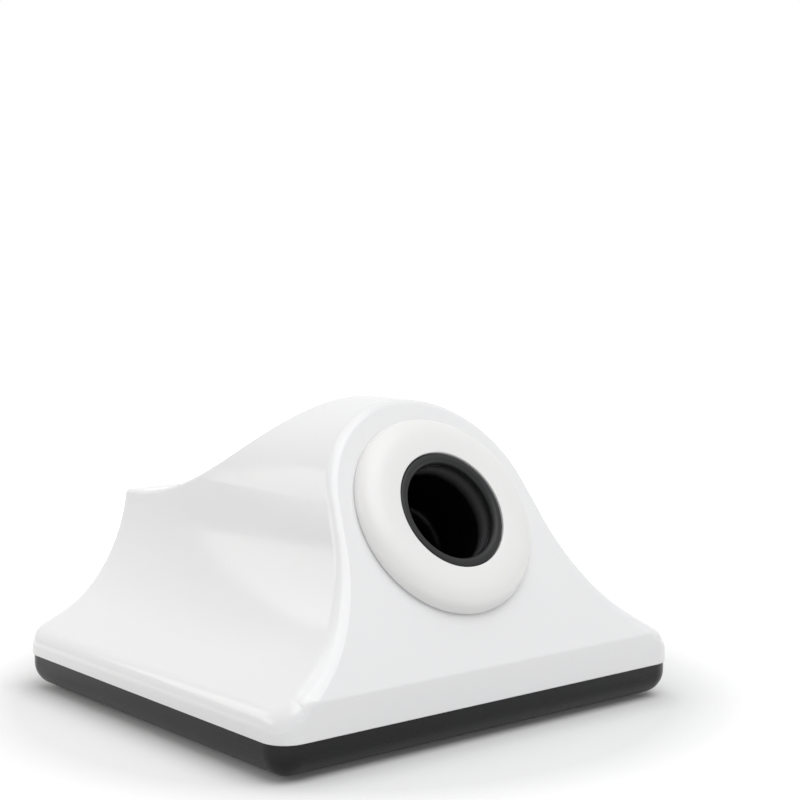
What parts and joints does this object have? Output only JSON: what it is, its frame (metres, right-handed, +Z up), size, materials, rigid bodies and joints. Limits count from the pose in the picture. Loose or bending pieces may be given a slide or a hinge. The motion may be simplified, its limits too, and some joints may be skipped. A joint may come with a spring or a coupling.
{
  "type": "wax knife heater",
  "caption": "Bell-shaped desktop heater with a slanted round mouth for warming wax knife tips, scooped roof, black tray and rear rocker switch.",
  "frame": {"origin": "on the floor, under the middle of the case's rectangular plan", "axes": "+X to the right seen from the front, +Y towards the rear wall, +Z up; the mouth faces -Y and up"},
  "size_m": [0.135, 0.125, 0.0841],
  "materials": {
    "white_shell": "glossy white",
    "white_ring": "glossy white",
    "black_tray": "satin black",
    "black_rim": "satin black",
    "black_cup": "glossy black, heat resistant",
    "switch_black": "satin black",
    "inlet_black": "satin black",
    "foot_rubber": "matte",
    "screw_steel": "plated",
    "bracket_plastic": "natural heat-resistant plastic",
    "coil_copper": "enamelled copper wire",
    "board_green": "solder mask",
    "sink_aluminium": "extruded",
    "part_black": "moulded",
    "choke_winding": "copper winding",
    "can_blue": "sleeved can",
    "film_yellow": "moulded box",
    "terminal_green": "moulded",
    "blade_brass": "plated",
    "nut_metal": "plated",
    "wire_white": "insulation",
    "wire_red": "insulation",
    "wire_black": "insulation",
    "diode_clear": "clear epoxy"
  },
  "bodies": {
    "housing": {"upper_shell": "white_shell", "base_tray": "black_tray", "case_screws": "screw_steel", "rubber_feet": "foot_rubber", "bezel_ring": "white_ring", "tunnel_rim": "black_rim", "heating_cup": "black_cup", "cup_bracket": "bracket_plastic", "bracket_screws": "screw_steel", "coil_former": "bracket_plastic", "induction_coil": "coil_copper", "sensor_board": "board_green", "ir_emitter": "diode_clear", "ir_receiver": "part_black", "power_board": "board_green", "board_screws": "screw_steel", "heat_sink": "sink_aluminium", "power_transistors": "part_black", "smoothing_capacitor": "can_blue", "choke_coils": "choke_winding", "film_capacitors": "film_yellow", "control_chip": "part_black", "supply_terminal": "terminal_green", "coil_terminal": "terminal_green", "power_switch_body": "switch_black", "switch_blades": "blade_brass", "dc_inlet": "inlet_black", "dc_inlet_nut": "nut_metal", "coil_leads": "wire_white", "supply_leads": "wire_red", "switch_lead": "wire_red", "sensor_lead": "wire_black"},
    "rocker": {"power_rocker": "switch_black"}
  },
  "joints": [
    {"name": "power_rocker_tilt", "type": "hinge", "parent": "housing", "child": "rocker", "pos_m": [0.02, 0.05681, 0.03527], "axis": [1, 0, 0], "range_deg": [0, 22]}
  ]
}
